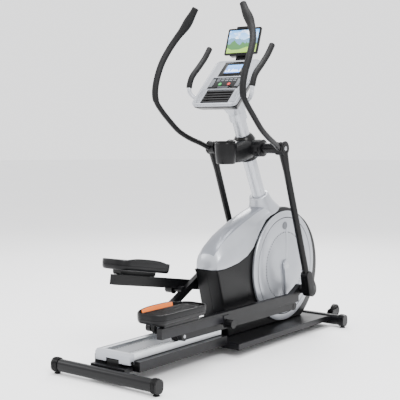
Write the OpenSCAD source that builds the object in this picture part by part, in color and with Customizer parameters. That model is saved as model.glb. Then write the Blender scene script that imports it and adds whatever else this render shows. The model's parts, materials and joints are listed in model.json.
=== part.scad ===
// Front-drive elliptical trainer with an inclining ramp, two pedals and two swinging handles.
// Millimetres. +X is the user's right, +Y is the way the user faces, +Z is up.
// The origin is on the floor under the middle of the machine.

/* [Base] */
// Distance between the centres of the rear and front stabilizers
base_pitch = 1688; // [1600:1:1800]
// Overall width of the rear stabilizer
rear_w = 640; // [560:1:720]
// Overall width of the front stabilizer
front_w = 586; // [520:1:700]
// Depth of a stabilizer tube, front to back
stab_d = 46; // [36:1:56]
// Height of a stabilizer tube
stab_h = 60; // [50:1:64]
// Height of the stabilizer tubes' middle above the floor
stab_z = 42; // [40:1:48]
// Length of a stabilizer end cap
cap_len = 36; // [24:1:50]
// Width of the rear base channel
base_w = 276; // [250:1:290]
// Height of the top of the rear base channel
base_top = 104; // [96:1:106]
// Width of the front base
front_base_w = 420; // [340:1:440]
// Height of the top of the front base
front_base_top = 70; // [60:1:71]
// Radius of a transport wheel
transport_r = 38; // [34:1:44]

/* [Ramp] */
// Length of the ramp from its hinge to its front end
ramp_len = 676; // [600:1:690]
// Distance of each rail's middle from the centre plane
rail_x = 88; // [84:1:92]
// Width of a rail
rail_w = 32; // [28:1:34]

/* [Rollers and arms] */
// Height of the roller axles above the floor
roller_z = 163; // [160:1:168]
// Radius of a roller
roller_r = 28; // [24:1:30]
// Width of a roller
roller_w = 22; // [16:1:24]
// Length of a roller arm between its roller and its crank pin
roller_arm_len = 980; // [960:1:1000]
// Height of a roller arm bar
roller_arm_h = 36; // [28:1:40]
// Thickness of the arm bars, left to right
arm_t = 28; // [20:1:30]
// Distance from the roller to the pedal arm's pivot, along the roller arm
pivot_along = 287; // [250:1:320]
// Height of that pivot above the roller arm's centre line
pivot_up = 21; // [18:1:26]
// Length of a pedal arm between its pivot and the swing leg
pedal_arm_len = 708; // [690:1:730]
// Height of a pedal arm bar
pedal_arm_h = 50; // [40:1:54]
// Gap between neighbouring arms, left to right
lane_gap = 4; // [3:1:6]

/* [Pedals] */
// Length of a pedal
pedal_l = 380; // [320:1:400]
// Width of a pedal
pedal_w = 164; // [140:1:166]
// Height of a pedal's rim
pedal_h = 48; // [36:1:54]
// Distance of each pedal's middle from the centre plane
pedal_x = 130; // [126:1:136]
// Distance of a pedal's middle behind the pivot
pedal_back = 365; // [340:1:390]
// Height of a pedal's rim above the pivot, with the arm level
pedal_up = 80; // [74:1:140]

/* [Drive] */
// Height of the crankshaft
crank_z = 383; // [375:1:390]
// Distance of the crankshaft in front of the rear stabilizer
crank_y = 1356; // [1340:1:1370]
// Crank radius
crank_r = 228; // [210:1:235]
// Crank angle of the right pin in front of straight down, in degrees
crank_phase = 5.7; // [0:0.1:12]
// Radius of the crank discs
disc_r = 305; // [270:1:308]
// Thickness of a crank disc
disc_t = 20; // [12:1:22]
// Radius of the drive pulley
pulley_r = 125; // [100:1:140]
// Radius of the flywheel
flywheel_r = 120; // [100:1:130]
// Half width of the black housing
housing_x = 74; // [68:1:76]
// Wall thickness of the housing covers
wall = 3; // [2:0.5:4]

/* [Upright and handles] */
// Height of the handle axle
handle_z = 1038; // [1020:1:1050]
// Distance of the handle axle in front of the rear stabilizer
handle_y = 1106; // [1096:1:1116]
// Lean of the upright, in degrees
lean = 25.3; // [22:0.1:28]
// Radius of the upright tube
upright_r = 37.5; // [32:0.5:40]
// Radius of the handle axle
axle_r = 12; // [10:0.5:14]
// Running clearance of pins and shafts in their bores, on the radius
fit = 0.05; // [0.02:0.01:0.09]
// Length of a swing leg between the handle axle and its lower end
leg_len = 833; // [820:1:846]
// Radius of a swing leg
leg_r = 18; // [14:1:20]
// Distance of each swing leg's middle from the centre plane
leg_x = 228; // [222:1:236]
// Radius of the handle tubes
tube_r = 14; // [12:0.5:16]

/* [Console] */
// Width of the console
console_w = 280; // [240:1:300]
// Length of the console's face
console_l = 335; // [300:1:350]
// Thickness of the console
console_t = 72; // [50:1:80]
// Slope of the console's face, in degrees
console_slope = 45; // [40:1:50]
// Width of the tablet
tablet_w = 210; // [180:1:240]
// Height of the tablet
tablet_h = 150; // [130:1:170]
// Thickness of the tablet
tablet_t = 8; // [6:1:10]

/* [Hidden] */
$fn = 64;
foot_h = 10;
base_low = 58;
lane1 = rail_x + rail_w / 2 + 8;              // inner face of the roller arms
lane2 = lane1 + arm_t + lane_gap;             // inner face of the pedal arms
disc_in = housing_x + 2;                      // inner face of the crank discs
crank_in = disc_in + disc_t + 2;              // inner face of the crank arms
crank_out = lane1 - lane_gap;                 // outer face of the crank arms
axle_half = leg_x + 12;                       // half length of the handle axle
hub_r = 36;
hinge_pin_r = 8;
transport_x = 190;
transport_z = 80;
transport_ahead = 59;                         // wheel axle in front of the front stabilizer
rear_y = -(base_pitch + transport_r + transport_ahead - stab_d / 2 - 6) / 2;   // rear stabilizer centre
pivot_pin_r = 10;
crank_pin_r = 9;
roller_pin_r = 8;
shaft_r = 15;
rail_top = roller_z - roller_r - 0.3;
ramp_hinge_y = 64;
ramp_hinge_z = base_top - 6;
ramp_clear = 3;
fly_y = 1010;
fly_z = 300;
bulge = 50;                                   // the covers reach this much further forward than the discs
front_turn = 60.95;                          // the front of the covers turns this far below their middle
rim_w = 21;                                   // black rim of the housing outside the crank disc
fly_pulley_r = 24;
bar_drop = 31;                                // bar centre above the pivot at rest
console_y = 800;
console_z = 1262;
screen_w = 96;
screen_h = 62;
button_r = 9;
button_gap = 0.4;
round_keys = [[-28, 150], [28, 150]];
rocker_x = 82;
rocker_y = 160;
rocker_w = 22;
rocker_l = 58;
cup_y = handle_y - 186;
cup_z = 958;
mast_top = 245;
mast_low = -470;

// Linkage of one side at rest, solved in the plane Y-Z. s is 1 on the right and -1 on the left.
function pin(s) = [crank_y + s * crank_r * sin(crank_phase), crank_z - s * crank_r * cos(crank_phase)];
function roller_arm_angle(s) = asin((pin(s)[1] - roller_z) / roller_arm_len);
function roller(s) = [pin(s)[0] - roller_arm_len * cos(roller_arm_angle(s)), roller_z];
function turned(p, a) = [p[0] * cos(a) - p[1] * sin(a), p[0] * sin(a) + p[1] * cos(a)];
function pivot(s) = roller(s) + turned([pivot_along, pivot_up], roller_arm_angle(s));
function to_hub(s) = [handle_y, handle_z] - pivot(s);
function hub_reach(s) = norm(to_hub(s));
function hub_corner(s) = acos((pow(pedal_arm_len, 2) + pow(hub_reach(s), 2) - pow(leg_len, 2))
                              / (2 * pedal_arm_len * hub_reach(s)));
function pedal_arm_angle(s) = atan2(to_hub(s)[1], to_hub(s)[0]) - hub_corner(s);
function leg_end(s) = pivot(s) + turned([pedal_arm_len, 0], pedal_arm_angle(s));
function leg_angle(s) = atan2(leg_end(s)[0] - handle_y, handle_z - leg_end(s)[1]);
bar_tilt = pedal_arm_angle(1);                // the right pedal arm's bar lies level at rest

// Smooth curve through points, and a round tube swept along it.
function cr(a, b, c, d, t) = 0.5 * ((2 * b) + (c - a) * t + (2 * a - 5 * b + 4 * c - d) * t * t
                                    + (3 * b - a - 3 * c + d) * t * t * t);
function smooth(p, n) = let(m = len(p) - 1)
    [for (i = [0 : m - 1], j = [0 : n - 1])
        cr(p[max(i - 1, 0)], p[i], p[i + 1], p[min(i + 2, m)], j / n), p[m]];
function unit(v) = v / norm(v);
function ring(c, t, r, k, ref) = let(u = unit(cross(t, ref)), w = unit(cross(t, u)))
    [for (i = [0 : k - 1]) c + r * (u * cos(360 * i / k) + w * sin(360 * i / k))];
function tail(p, first) = [for (i = [first : len(p) - 1]) p[i]];
function beyond(p, d) = let(n = len(p) - 1) concat(p, [p[n] + d * unit(p[n] - p[n - 1])]);
module sweep(p, r, k, ref) {
    n = len(p);
    tangents = [for (i = [0 : n - 1]) unit(p[min(i + 1, n - 1)] - p[max(i - 1, 0)])];
    points = [for (i = [0 : n - 1], q = ring(p[i], tangents[i], r[i], k, ref)) q];
    sides = [for (i = [0 : n - 2], j = [0 : k - 1])
        [i * k + j, (i + 1) * k + j, (i + 1) * k + (j + 1) % k, i * k + (j + 1) % k]];
    first = [for (j = [0 : k - 1]) j];
    last = [for (j = [k - 1 : -1 : 0]) (n - 1) * k + j];
    polyhedron(points, concat(sides, [first, last]), convexity = 6);
}

// Routes of the swing handle, from its axle, and of the fixed handlebar.
handle_route = [[leg_x, -34, 14], [238, -75, 55], [252, -140, 112], [262, -200, 178], [268, -250, 262],
                [270, -288, 335], [270, -304, 386], [270, -291, 436], [270, -250, 492], [268, -190, 548],
                [256, -125, 597], [232, -72, 640], [198, -28, 682], [165, 0, 727], [142, 22, 762]];
route_steps = 3;
grip_start = 6 * route_steps;                 // the foam starts at this point of the curve
handle_curve = smooth(handle_route, route_steps);
function grip_r(t) = 16.5 + 9 * exp(-pow((t - 0.40) / 0.17, 2)) + 1.5 * t;
bar_route = [[50, 978, 1290], [62, 978, 1290], [84, 970, 1288], [130, 934, 1285], [172, 893, 1298],
             [194, 872, 1322], [200, 868, 1356], [200, 892, 1411], [200, 953, 1467], [200, 1005, 1517],
             [200, 1045, 1567]];
bar_curve = smooth(bar_route, 3);
foam_start = 18;
bar_r = 11;
// Cylinder along X, plate cut from a side profile, and racetrack bar along X.
module xcyl(r, x0, x1, p = [0, 0]) {
    translate([x0, p[0], p[1]]) rotate([0, 90, 0]) cylinder(r = r, h = x1 - x0);
}
module xplate(x0, x1) {
    translate([x0, 0, 0]) rotate([90, 0, 90]) linear_extrude(x1 - x0) children();
}
module racetrack(d, h) {
    square([d, h - d], center = true);
    for (k = [-1, 1]) translate([0, k * (h - d) / 2]) circle(d = d);
}
module at_base() { translate([0, rear_y, 0]) children(); }
module side(s) { at_base() mirror([s < 0 ? 1 : 0, 0, 0]) children(); }
module both() { at_base() for (s = [0, 1]) mirror([s, 0, 0]) children(); }

/* Base */
module stabilizer(y, w) {
    x = w / 2 - cap_len + 6;
    at_base() difference() {
        translate([0, y, stab_z]) xplate(-x, x) racetrack(stab_d, stab_h);
        translate([0, y, stab_z]) xplate(-x + wall, x - wall) racetrack(stab_d - 2 * wall, stab_h - 2 * wall);
    }
}
module end_caps(y, w) {
    color("#202023") both() difference() {
        union() {
            translate([0, y, stab_z]) xplate(w / 2 - cap_len, w / 2) racetrack(stab_d + 8, stab_h + 8);
            for (k = [0 : 2]) translate([w / 2 - cap_len + 6 + k * 8, y, stab_z])
                xplate(0, 3) racetrack(stab_d + 12, stab_h + 12);
        }
        translate([0, y, stab_z]) xplate(w / 2 - cap_len - 1, w / 2 - cap_len + 6) racetrack(stab_d, stab_h);
        translate([0, y - stab_d, 0]) cube([w, 2 * stab_d, foot_h]);
    }
}
module stabilizers() {
    axle = [base_pitch + transport_ahead, transport_z];
    color("#1b1b1e") {
        stabilizer(0, rear_w);
        stabilizer(base_pitch, front_w);
        both() {
            for (k = [-1, 1]) translate([transport_x + k * 17 - 2, 0, 0]) xplate(0, 4) {
                polygon([[base_pitch - 6, 66], [base_pitch, 50], [axle[0], axle[1] - 17],
                         [axle[0], axle[1] + 17], [base_pitch + 12, axle[1] + 10]]);
                translate(axle) circle(r = 17);
            }
            xcyl(6, transport_x - 20, transport_x + 20, axle);
        }
    }
}
module stabilizer_caps() {
    end_caps(0, rear_w);
    end_caps(base_pitch, front_w);
}
module stabilizer_feet() {
    color("#111112") both() for (q = [[rear_w / 2 - cap_len / 2, 0], [front_w / 2 - cap_len / 2, base_pitch]])
        translate([q[0], q[1], 0]) {
            cylinder(r = 15, h = 5);
            translate([0, 0, 5]) cylinder(r = 10, h = foot_h - 5);
        }
}
module rear_base_frame() {
    x = rail_x + rail_w / 2 + 6;
    y0 = ramp_hinge_y + 16;
    y1 = ramp_hinge_y + ramp_len + 5;
    color("#1c1c1f") at_base() {
        difference() {
            translate([-base_w / 2, y0, base_low]) cube([base_w, y1 - y0, base_top - base_low]);
            translate([-base_w / 2 + wall, y0 + wall, base_low - 1])
                cube([base_w - 2 * wall, y1 - y0 - 2 * wall, base_top - wall - base_low + 1]);
        }
        translate([-30, stab_d / 2, 30]) cube([60, y1 - stab_d / 2, base_low - 30]);
        translate([-38, ramp_hinge_y - 8, base_low]) cube([76, 16, ramp_hinge_z - base_low]);
        xcyl(hinge_pin_r, -x, x, [ramp_hinge_y, ramp_hinge_z]);
        difference() {
            translate([-104, stab_d / 2 - 6, base_low]) cube([208, ramp_hinge_y + 14 - stab_d / 2, 20]);
            translate([0, 0, stab_z]) xplate(-120, 120) racetrack(stab_d, stab_h);
        }
    }
}
module lift_motor() {
    y = ramp_hinge_y + ramp_len - 180;
    z = base_low + 20;
    color("#5a5d61") at_base() {
        translate([0, y, z]) rotate([-90, 0, 0]) cylinder(r = 19, h = 110);
        translate([-30, y + 109, base_low]) cube([60, 50, 40]);
        translate([0, y - 90, z]) rotate([-90, 0, 0]) cylinder(r = 6, h = 91);
    }
}
module front_base_frame() {
    x = front_base_w / 2;
    y0 = ramp_hinge_y + ramp_len + 5;
    y1 = base_pitch - stab_d / 2;
    color("#1a1a1d") at_base() difference() {
        xplate(-x, x) polygon([[y0, 40], [y1, 40], [y1, 62], [y1 - 65, front_base_top], [y0, front_base_top]]);
        xplate(-x + 3, x - 3) polygon([[y0 + 3, 39], [y1 - 3, 39], [y1 - 3, 59], [y1 - 66, front_base_top - 3],
                                       [y0 + 3, front_base_top - 3]]);
    }
}
module transport_wheel(s) {
    color("#232326") side(s) translate([transport_x, base_pitch + transport_ahead, transport_z])
        rotate([0, 90, 0]) rotate_extrude()
        polygon([[6 + fit, -12], [16, -12], [18, -8], [transport_r - 11, -8], [transport_r - 9, -13],
                 [transport_r - 3, -13], [transport_r, -10], [transport_r, 10], [transport_r - 3, 13],
                 [transport_r - 9, 13], [transport_r - 11, 8], [18, 8], [16, 12], [6 + fit, 12]]);
}
module power_inlet() {
    y = base_pitch + stab_d / 2;
    color("#101012") at_base() difference() {
        translate([-24, y, stab_z - 14]) cube([48, 8, 28]);
        translate([-14, y + 2, stab_z - 9]) cube([28, 7, 18]);
    }
}

/* Ramp */
module ramp_cover() {
    x = rail_x - rail_w / 2;
    y = ramp_hinge_y + 16;
    z0 = base_top + ramp_clear;
    color("#8d8f94") at_base() difference() {
        translate([0, y, 0]) rotate([-90, 0, 0]) linear_extrude(ramp_len - 16)
            polygon([[-x, -z0], [-x, -z0 - 17], [-x + 6, -z0 - 22], [x - 6, -z0 - 22], [x, -z0 - 17], [x, -z0]]);
        translate([-x + 6, y + 6, z0 - 1]) cube([2 * x - 12, ramp_len - 28, 16]);
    }
}
module ramp_rails() {
    x = rail_w / 2;
    z0 = base_top + ramp_clear;
    h = rail_top - z0;
    color("#c9ccd0") both() translate([rail_x, ramp_hinge_y + 16, 0]) rotate([90, 0, 0]) mirror([0, 0, 1])
        linear_extrude(ramp_len - 16) difference() {
            translate([-x, z0]) square([rail_w, h + 3]);
            translate([-x + 2.5, z0 + h]) square([rail_w - 5, 4]);
            for (k = [0, 1]) translate([-x + 3 + k * (x - 1.5), z0 + 3]) square([x - 4.5, h - 6]);
        }
}
module ramp_end_cap() {
    x = rail_x + rail_w / 2 + 2;
    color("#b9bcc0") at_base() difference() {
        translate([-x, 0, 0]) xplate(0, 2 * x) polygon([[ramp_hinge_y - 14, ramp_hinge_z - 8],
            [ramp_hinge_y + 14, ramp_hinge_z - 8], [ramp_hinge_y + 14, base_top + ramp_clear],
            [ramp_hinge_y + 16, base_top + ramp_clear], [ramp_hinge_y + 16, rail_top + 3],
            [ramp_hinge_y - 2, rail_top + 3], [ramp_hinge_y - 14, rail_top - 8]]);
        xcyl(hinge_pin_r + fit, -x - 1, x + 1, [ramp_hinge_y, ramp_hinge_z]);
        translate([-40, ramp_hinge_y - 16, ramp_hinge_z - 9]) cube([80, 33, 18]);
    }
}
/* Housing and drive */
module housing_outline(d) {
    low = front_base_top + 0.1 - d;           // the covers are open underneath
    r = disc_r + rim_w - d;
    a0 = 180 - asin((496 - d - crank_z) / r);
    front = [crank_y + bulge, front_base_top + (disc_r + rim_w) * sin(front_turn)];
    a1 = -asin((front[1] - low) / r);
    polygon(concat([[845 + d, low], [811 + d, 207], [759 + d, 396], [745 + 2 * d, 424 - d], [893, 441 - d]],
                   arc([crank_y, crank_z], r, a0, 58, 40),
                   arc(front, r, 54, a1, 40)));
}
module housing_shell(s) {
    side(s) difference() {
        xplate(0.1, housing_x) housing_outline(0);
        xplate(0, housing_x - wall) housing_outline(wall);
        xcyl(shaft_r + 5, -1, housing_x + 1, [crank_y, crank_z]);
        upright_void(upright_r + 0.5);
    }
}
module right_housing_cover() { color("#18181b") housing_shell(1); }
module left_housing_cover() { color("#18181b") housing_shell(-1); }
module on_mast() { translate([0, handle_y, handle_z]) rotate([lean, 0, 0]) children(); }
module upright_void(r) { on_mast() translate([0, 0, -700]) cylinder(r = r, h = 960); }
module shroud_body(d) {
    hull() {
        xplate(-84 + d, 84 - d) polygon([[745 + d, 445], [780 + d, 475 - d], [900, 560 - d], [1040, 618 - d],
                                 [1200, 655 - d], [1250, 655 - d], [1250, 424 + d], [745 + d, 424 + d]]);
        xplate(-60 + d, 60 - d) polygon([[738 + d, 440], [742 + d, 470], [775 + d, 523 - d], [833, 577 - d],
                                 [960, 638 - d], [1120, 688 - d], [1250, 708 - d], [1250, 424 + d]]);
        xplate(-30 + d, 30 - d) polygon([[735 + d, 440], [736 + d, 478], [768 + d, 532 - d], [828, 588 - d],
                                 [960, 652 - d], [1117, 702 - d], [1250, 722 - d], [1250, 424 + d]]);
    }
}
module nose_shroud() {
    r = disc_r + rim_w + 0.6;
    color("#c3c6ca") at_base() difference() {
        shroud_body(0);
        difference() {
            shroud_body(wall);
            translate([-90, 720, 420]) cube([180, 22, 20]);
        }
        xcyl(r, -90, 90, [crank_y, crank_z]);
        xplate(-90, 90) polygon([[700, 400], [700, 424.4], [745, 424.4], [893, 441.4], [1048, 496.4], [1100, 520], [1100, 400]]);
        translate([-90, 1190, 400]) cube([180, 100, 400]);
    }
}
module upright_collar() {
    color("#bfc2c6") at_base() difference() {
        on_mast() {
            translate([0, 0, -372]) cylinder(r1 = 82, r2 = 54, h = 82);
            translate([0, 0, -290]) cylinder(r1 = 54, r2 = 50, h = 6);
        }
        on_mast() translate([0, 0, -400]) cylinder(r = upright_r + 0.1, h = 200);
        xcyl(disc_r + rim_w + 0.6, -120, 120, [crank_y, crank_z]);
        shroud_body(-0.3);
    }
}
module inner_frame() {
    color("#2c2d31") at_base() difference() {
        union() {
            for (k = [0, 1]) mirror([k, 0, 0]) {
                xplate(54, 60) polygon([[930, front_base_top], [1545, front_base_top], [1420, 400], [1318, 640],
                                        [1225, 640], [1150, 460], [960, 400]]);
                xcyl(28, 48, 68, [crank_y, crank_z]);
            }
            xcyl(8, -60, 60, [fly_y, fly_z]);
            intersection() {
                on_mast() translate([0, 0, mast_low - 10]) cylinder(r = 57, h = 80);
                translate([-54, 1100, 400]) cube([108, 400, 300]);
            }
        }
        xcyl(shaft_r + fit, -70, 70, [crank_y, crank_z]);
        on_mast() translate([0, 0, mast_low]) cylinder(r = upright_r + 0.05, h = 300);
    }
}
module upright() {
    color("#aeb1b5") at_base() difference() {
        union() {
            on_mast() translate([0, 0, mast_low]) cylinder(r = upright_r, h = mast_top - mast_low);
            xcyl(22, -114, 114, [handle_y, handle_z]);
            xcyl(axle_r, -axle_half, axle_half, [handle_y, handle_z]);
        }
        difference() {
            on_mast() translate([0, 0, mast_low - 1]) cylinder(r = upright_r - wall, h = mast_top - mast_low + 2);
            xcyl(22, -60, 60, [handle_y, handle_z]);
        }
    }
}
module crankshaft() { color("#8e9196") at_base() xcyl(shaft_r, -crank_out, crank_out, [crank_y, crank_z]); }
module drive_pulley() {
    color("#303236") at_base() translate([-9, crank_y, crank_z]) rotate([0, 90, 0]) rotate_extrude($fn = 96)
        polygon([[shaft_r, -6], [30, -6], [30, 4], [pulley_r - 14, 4], [pulley_r - 14, 0], [pulley_r + 3, 0],
                 [pulley_r + 3, 2], [pulley_r, 2], [pulley_r, 16], [pulley_r + 3, 16], [pulley_r + 3, 18],
                 [pulley_r - 14, 18], [pulley_r - 14, 14], [30, 14], [30, 24], [shaft_r, 24]]);
}
module crank_discs() {
    r = disc_r;
    t = disc_t;
    color("#c6c9cd") both() translate([disc_in, crank_y, crank_z]) rotate([0, 90, 0]) rotate_extrude($fn = 128)
        polygon([[shaft_r, 0], [44, 0], [50, t - 5], [190, t - 5], [r - 12, t - 7], [r - 4, t - 11], [r - 4, 1],
                 [r, 1], [r, t - 8], [r - 8, t - 2], [r - 34, t - 1], [r - 36, t - 3], [r - 40, t - 3],
                 [r - 42, t - 1], [190, t], [shaft_r, t]]);
}
module crank_arms() {
    color("#1d1d20") for (s = [1, -1]) side(s) translate([crank_in, crank_y, crank_z])
        rotate([crank_phase + (s > 0 ? 0 : 180), 0, 0]) difference() {
            xplate(0, crank_out - crank_in) {
                circle(r = 34);
                translate([0, -crank_r]) circle(r = 24);
                polygon([[-28, 0], [28, 0], [21, -crank_r], [-21, -crank_r]]);
            }
            xcyl(shaft_r, -1, 40);
        }
}
module flywheel() {
    color("#6d7074") at_base() translate([0, fly_y, fly_z]) rotate([0, 90, 0]) rotate_extrude($fn = 96)
        polygon([[8 + fit, -14], [20, -14], [20, -10], [fly_pulley_r + 3, -10], [fly_pulley_r + 3, -7],
                 [fly_pulley_r, -7], [fly_pulley_r, 8], [fly_pulley_r + 3, 8], [fly_pulley_r + 3, 12], [70, 12],
                 [74, 11], [flywheel_r - 26, 11], [flywheel_r - 26, 10], [flywheel_r, 10], [flywheel_r, 40],
                 [flywheel_r - 26, 40], [flywheel_r - 26, 20], [28, 20], [28, 42], [8 + fit, 42]]);
}
function arc(c, r, from, to, n) =
    [for (k = [0 : n]) let(a = from + (to - from) * k / n) [c[0] + r * cos(a), c[1] + r * sin(a)]];
module belt_loop(gap) {
    a = crank_y - fly_y;
    b = crank_z - fly_z;
    slope = atan2(b, a);
    tilt = asin((pulley_r - fly_pulley_r) / norm([a, b]));
    polygon(concat(arc([fly_y, fly_z], fly_pulley_r + gap, slope + tilt + 90, slope - tilt + 270, 24),
                   arc([crank_y, crank_z], pulley_r + gap, slope - tilt - 90, slope + tilt + 90, 60)));
}
module drive_belt() {
    gap = 0.4;
    color("#151516") at_base() difference() {
        xplate(-6, 6) belt_loop(gap + 4);
        xplate(-7, 7) belt_loop(gap);
    }
}
module magnet_brake() {
    color("#44474b") at_base() xplate(12, 54) intersection() {
        translate([fly_y, fly_z]) difference() {
            circle(r = flywheel_r + 16);
            circle(r = flywheel_r + 4);
        }
        polygon([[fly_y - 200, fly_z - 200], [fly_y, fly_z], [fly_y + 60, fly_z - 200]]);
    }
}

/* Roller arms */
module roller_axle(s) {
    p = roller(s);
    color("#a4a7ab") side(s) {
        xcyl(roller_pin_r, rail_x - roller_w / 2 - 4, lane1 + arm_t + 0.5, p);
        xcyl(12, rail_x - roller_w / 2 - 6, rail_x - roller_w / 2 - 2, p);
        xcyl(13, rail_x + roller_w / 2 + 1, lane1 - 0.5, p);
    }
}
module roller_wheel(s) {
    p = roller(s);
    color("#26262a") side(s) translate([rail_x, p[0], p[1]]) rotate([0, 90, 0]) rotate_extrude()
        polygon([[roller_pin_r + fit, -roller_w / 2], [roller_r - 9, -roller_w / 2], [roller_r - 8, -roller_w / 2 + 2],
                 [roller_r - 5, -roller_w / 2 + 2], [roller_r - 4, -roller_w / 2], [roller_r - 2, -roller_w / 2],
                 [roller_r, -roller_w / 2 + 2], [roller_r, roller_w / 2 - 2], [roller_r - 2, roller_w / 2],
                 [roller_r - 4, roller_w / 2], [roller_r - 5, roller_w / 2 - 2], [roller_r - 8, roller_w / 2 - 2],
                 [roller_r - 9, roller_w / 2], [roller_pin_r + fit, roller_w / 2]]);
}
module roller_arm(s) {
    p = roller(s);
    color("#222226") side(s) translate([lane1, p[0], p[1]]) rotate([roller_arm_angle(s), 0, 0]) {
        difference() {
            xplate(0, arm_t) {
                circle(r = 22);
                translate([roller_arm_len, 0]) circle(r = 23);
                translate([pivot_along, pivot_up]) circle(r = 20);
                translate([0, -roller_arm_h / 2]) square([roller_arm_len, roller_arm_h]);
            }
            xcyl(roller_pin_r + fit, -1, 40);
            xcyl(pivot_pin_r + fit, -1, 40, [pivot_along, pivot_up]);
            for (q = [[30, pivot_along - 35], [pivot_along + 35, roller_arm_len - 35]])
                xplate(wall, arm_t - wall) translate([q[0], -roller_arm_h / 2 + wall])
                    square([q[1] - q[0], roller_arm_h - 2 * wall]);
        }
        xcyl(crank_pin_r, -lane_gap + 1.5, 1, [roller_arm_len, 0]);
        xcyl(13, arm_t - 1, arm_t + 2, [roller_arm_len, 0]);
    }
}

/* Pedal arms, drawn from the pivot with Y along the line to the swing leg */
module on_pedal_arm(s) {
    p = pivot(s);
    side(s) translate([0, p[0], p[1]]) rotate([pedal_arm_angle(s), 0, 0]) children();
}
module on_bar(s) { on_pedal_arm(s) rotate([-bar_tilt, 0, 0]) children(); }
module pedal_arm(s) {
    w = arm_t + 2;
    x = lane2 + w;
    low = bar_drop - pedal_arm_h / 2;
    high = bar_drop + pedal_arm_h / 2;
    tip = turned([pedal_arm_len, 0], bar_tilt);
    rear = -pedal_back - pedal_l / 2 + 60;
    color("#242428") on_bar(s) {
        difference() {
            union() {
                xplate(lane2, x) {
                    translate([rear, low]) square([tip[0] - rear - 20, pedal_arm_h]);
                    translate(tip) circle(r = 26);
                    polygon([[tip[0] - 90, low], [tip[0], tip[1] - 26], [tip[0], tip[1] + 26], [tip[0] - 90, high]]);
                }
                xplate(x - 1, x + 5) {
                    circle(r = 24);
                    translate([-24, 0]) square([48, bar_drop + 10]);
                }
                xcyl(21, x, x + 46);
            }
            xcyl(9, lane2 - 1, x + 1, tip);
            for (q = [[rear + 6, -40], [40, tip[0] - 110]])
                xplate(lane2 + wall, x - wall) translate([q[0], low + wall])
                    square([q[1] - q[0], pedal_arm_h - 2 * wall]);
        }
        xcyl(pivot_pin_r, lane1 + 0.5, x + 1);
    }
}
module pedal_outline(d) {
    w = pedal_w / 2 - d;
    l = pedal_l / 2 - d;
    r = 34 - d;
    translate([-w, -l + r]) square([2 * w, 2 * l - 2 * r]);
    translate([-w + r, -l]) square([2 * w - 2 * r, 2 * l]);
    for (i = [-1, 1], j = [-1, 1]) translate([i * (w - r), j * (l - r)]) circle(r = r);
}
module pedal_tray(s) {
    high = bar_drop + pedal_arm_h / 2;
    color("#202024") on_bar(s) {
        translate([pedal_x, -pedal_back, pedal_up]) difference() {
            linear_extrude(pedal_h) pedal_outline(0);
            translate([0, 0, pedal_h - 16]) linear_extrude(20) pedal_outline(9);
            translate([0, 0, -1]) linear_extrude(pedal_h - 22) pedal_outline(6);
        }
        difference() {
            translate([lane2 - 22, -pedal_back - 120, high]) cube([arm_t + 30, 270, pedal_up + pedal_h - 20 - high]);
            translate([lane2 - 16, -pedal_back - 112, high - 1]) cube([arm_t + 10, 254, pedal_up - high - 5]);
        }
    }
}
module pedal_pad(s) {
    rows = 12;
    color("#2b2b30") on_bar(s) translate([pedal_x, -pedal_back, pedal_up + pedal_h - 16]) {
        linear_extrude(6) pedal_outline(9.5);
        for (k = [0 : rows - 1])
            translate([-pedal_w / 2 + 30 + k * (pedal_w - 56) / (rows - 1) - 2, -pedal_l / 2 + 44, 5])
                cube([4, pedal_l - 88, 4]);
    }
}
/* Swing legs and handles, drawn from the handle axle with the leg straight down */
module on_leg(s) {
    side(s) translate([0, handle_y, handle_z]) rotate([leg_angle(s), 0, 0]) children();
}
module swing_leg(s) {
    color("#1f1f23") on_leg(s) difference() {
        union() {
            translate([leg_x, 0, -leg_len]) cylinder(r = leg_r, h = leg_len);
            translate([leg_x, 0, -130]) cylinder(r1 = leg_r, r2 = leg_r + 7, h = 110);
            xcyl(22, lane2 + arm_t + 4, leg_x + 6, [0, -leg_len]);
            xcyl(28, 116, leg_x - 30);
            xcyl(hub_r, leg_x - 31, axle_half + 0.5);
            xcyl(hub_r + 2, axle_half + 0.5, axle_half + 6);
            xcyl(hub_r - 8, axle_half + 5, axle_half + 8);
        }
        xcyl(axle_r + fit, 110, axle_half + 0.5);
        translate([leg_x, 0, -leg_len + 30]) cylinder(r = leg_r - wall, h = leg_len - 90);
    }
}
module leg_cover(s) {
    color("#202024") on_leg(s) difference() {
        hull() {
            xcyl(40, leg_x - 24, leg_x + 22, [4, -leg_len + 4], $fn = 32);
            xcyl(30, leg_x - 28, leg_x + 27, [4, -leg_len], $fn = 32);
            xcyl(27, leg_x - 21, leg_x + 21, [0, -leg_len + 88], $fn = 32);
        }
        translate([leg_x, 0, -leg_len - 1]) cylinder(r = leg_r + 0.1, h = 200);
        xcyl(22.1, 100, leg_x + 6.1, [0, -leg_len]);
    }
}
module swing_handle(s) {
    color("#1b1b1e") on_leg(s) difference() {
        sweep(handle_curve, [for (p = handle_curve) tube_r], 14, [1, 0, 0]);
        xcyl(hub_r + 0.05, 100, axle_half + 0.4);
        xcyl(hub_r + 2.05, axle_half + 0.4, 300);
    }
}
module foam_grip(s) {
    p = beyond(tail(handle_curve, grip_start), 7);
    bore = beyond(tail(handle_curve, grip_start - 1), 0.3);
    color("#232327") on_leg(s) difference() {
        sweep(p, [for (i = [0 : len(p) - 1]) grip_r(i / (len(p) - 1))], 16, [1, 0, 0]);
        sweep(bore, [for (q = bore) tube_r + 0.2], 14, [1, 0, 0]);
    }
}

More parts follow.
